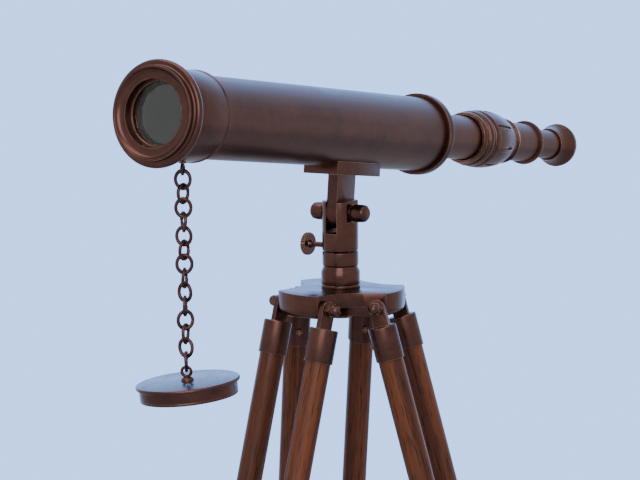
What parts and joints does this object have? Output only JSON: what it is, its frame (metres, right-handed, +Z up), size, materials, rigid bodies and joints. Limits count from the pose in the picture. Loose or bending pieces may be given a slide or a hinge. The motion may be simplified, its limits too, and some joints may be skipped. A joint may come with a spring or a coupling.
{
  "type": "telescope on tripod",
  "caption": "Antique-style draw telescope in dark copper with a lens cap on a chain, on a folding wooden floor tripod with extending legs.",
  "frame": {"origin": "on the floor, under the middle of the object's box", "axes": "+Z up; +X the way the objective points; the tilt pivot runs along Y"},
  "size_m": [0.6884, 0.5412, 1.2687],
  "materials": {
    "antique_copper": "satin, brushed, dark antique copper lacquer",
    "polished_copper": "satin antique copper, rubbed brighter on its edges",
    "hardwood": "semi-gloss reddish-brown lacquer",
    "glass": "clear, faintly green"
  },
  "bodies": {
    "tripod_head": {"head_plate": "antique_copper", "column_base": "antique_copper", "pan_spindle": "antique_copper", "leg_studs": "polished_copper", "leg_washers": "polished_copper", "leg_dome_nuts": "polished_copper"},
    "turret": {"clevis": "antique_copper", "tilt_stud": "polished_copper", "tilt_washers": "polished_copper", "tilt_knobs": "polished_copper"},
    "pan_lock": {"pan_lock_screw": "polished_copper"},
    "telescope": {"saddle": "antique_copper", "saddle_screws": "polished_copper", "barrel_tube": "antique_copper", "objective_collar": "antique_copper", "objective_bezel": "antique_copper", "objective_lens": "glass", "lens_retainer": "antique_copper", "rear_ring": "antique_copper", "chain_eye": "antique_copper"},
    "draw_1": {"draw_1_tube": "antique_copper", "draw_1_bush": "antique_copper", "grip_collar": "antique_copper"},
    "draw_2": {"draw_2_tube": "antique_copper", "draw_2_bush": "antique_copper", "draw_2_end_ring": "antique_copper"},
    "draw_3": {"draw_3_tube": "antique_copper", "draw_3_bush": "antique_copper", "erector_lens": "glass", "eyepiece_cup": "antique_copper", "eye_lens": "glass"},
    "chain_upper": {"chain_upper_links": "antique_copper"},
    "chain_lower": {"chain_lower_links": "antique_copper"},
    "cap": {"lens_cap": "antique_copper", "cap_knob": "polished_copper"},
    "leg_a": {"leg_a_hinge_ferrules": "antique_copper", "leg_a_ferrule_screws": "polished_copper", "leg_a_outer_dowels": "hardwood", "leg_a_lower_bracket": "antique_copper"},
    "leg_a_slide": {"leg_a_slide_dowel": "hardwood", "leg_a_guide_bracket": "antique_copper", "leg_a_foot": "antique_copper"},
    "leg_a_lock": {"leg_a_lock_screw": "polished_copper"},
    "leg_b": {"leg_b_hinge_ferrules": "antique_copper", "leg_b_ferrule_screws": "polished_copper", "leg_b_outer_dowels": "hardwood", "leg_b_lower_bracket": "antique_copper"},
    "leg_b_slide": {"leg_b_slide_dowel": "hardwood", "leg_b_guide_bracket": "antique_copper", "leg_b_foot": "antique_copper"},
    "leg_b_lock": {"leg_b_lock_screw": "polished_copper"},
    "leg_c": {"leg_c_hinge_ferrules": "antique_copper", "leg_c_ferrule_screws": "polished_copper", "leg_c_outer_dowels": "hardwood", "leg_c_lower_bracket": "antique_copper"},
    "leg_c_slide": {"leg_c_slide_dowel": "hardwood", "leg_c_guide_bracket": "antique_copper", "leg_c_foot": "antique_copper"},
    "leg_c_lock": {"leg_c_lock_screw": "polished_copper"}
  },
  "joints": [
    {"name": "pan_turn", "type": "hinge", "parent": "tripod_head", "child": "turret", "pos_m": [0.03352, -0.0426, 1.1063], "axis": [0, 0, 1], "continuous": true},
    {"name": "pan_lock_turn", "type": "hinge", "parent": "turret", "child": "pan_lock", "pos_m": [0.03352, -0.05673, 1.1095], "axis": [0, 1, 0], "range_deg": [0, 270]},
    {"name": "tilt", "type": "hinge", "parent": "turret", "child": "telescope", "pos_m": [0.03352, -0.0426, 1.13617], "axis": [0, -1, 0], "range_deg": [-25, 45]},
    {"name": "draw_1_slide", "type": "slide", "parent": "telescope", "child": "draw_1", "axis": [-0.9923, 0, -0.1238], "range_m": [-0.0642, 0.037]},
    {"name": "draw_2_slide", "type": "slide", "parent": "draw_1", "child": "draw_2", "axis": [-0.9923, 0, -0.1238], "range_m": [-0.0419, 0.04]},
    {"name": "draw_3_slide", "type": "slide", "parent": "draw_2", "child": "draw_3", "axis": [-0.9923, 0, -0.1238], "range_m": [-0.0415, 0.0364]},
    {"name": "chain_swing", "type": "hinge", "parent": "telescope", "child": "chain_upper", "pos_m": [0.24086, -0.0426, 1.18858], "axis": [-0.3746, 0.9272, 0], "range_deg": [-50, 50]},
    {"name": "chain_bend", "type": "hinge", "parent": "chain_upper", "child": "chain_lower", "pos_m": [0.24086, -0.0426, 1.11858], "axis": [-0.9272, -0.3746, 0], "range_deg": [-40, 40]},
    {"name": "cap_swing", "type": "hinge", "parent": "chain_lower", "child": "cap", "pos_m": [0.24102, -0.04287, 1.04867], "axis": [-0.3723, 0.9235, 0.0926], "range_deg": [-40, 40]},
    {"name": "leg_a_fold", "type": "hinge", "parent": "tripod_head", "child": "leg_a", "pos_m": [0.06987, -0.05295, 1.0669], "axis": [0.274, 0.9617, 0], "range_deg": [0, 14.7]},
    {"name": "leg_a_extend", "type": "slide", "parent": "leg_a", "child": "leg_a_slide", "axis": [0.244, -0.0695, -0.9673], "range_m": [-0.41, 0.122]},
    {"name": "leg_a_lock_turn", "type": "hinge", "parent": "leg_a", "child": "leg_a_lock", "pos_m": [0.21947, -0.09557, 0.47396], "axis": [-0.9303, 0.265, -0.2538], "range_deg": [0, 270]},
    {"name": "leg_b_fold", "type": "hinge", "parent": "tripod_head", "child": "leg_b", "pos_m": [0.02431, -0.00594, 1.0669], "axis": [-0.9699, -0.2436, 0], "range_deg": [0, 14.7]},
    {"name": "leg_b_extend", "type": "slide", "parent": "leg_b", "child": "leg_b_slide", "axis": [-0.0618, 0.2461, -0.9673], "range_m": [-0.41, 0.122]},
    {"name": "leg_b_lock_turn", "type": "hinge", "parent": "leg_b", "child": "leg_b_lock", "pos_m": [-0.01359, 0.14493, 0.47396], "axis": [0.2356, -0.9381, -0.2538], "range_deg": [0, 270]},
    {"name": "leg_c_fold", "type": "hinge", "parent": "tripod_head", "child": "leg_c", "pos_m": [0.00637, -0.0689, 1.0669], "axis": [0.6959, -0.7181, 0], "range_deg": [0, 14.7]},
    {"name": "leg_c_extend", "type": "slide", "parent": "leg_c", "child": "leg_c_slide", "axis": [-0.1822, -0.1766, -0.9673], "range_m": [-0.41, 0.122]},
    {"name": "leg_c_lock_turn", "type": "hinge", "parent": "leg_c", "child": "leg_c_lock", "pos_m": [-0.10534, -0.17716, 0.47396], "axis": [0.6946, 0.6731, -0.2538], "range_deg": [0, 270]}
  ]
}
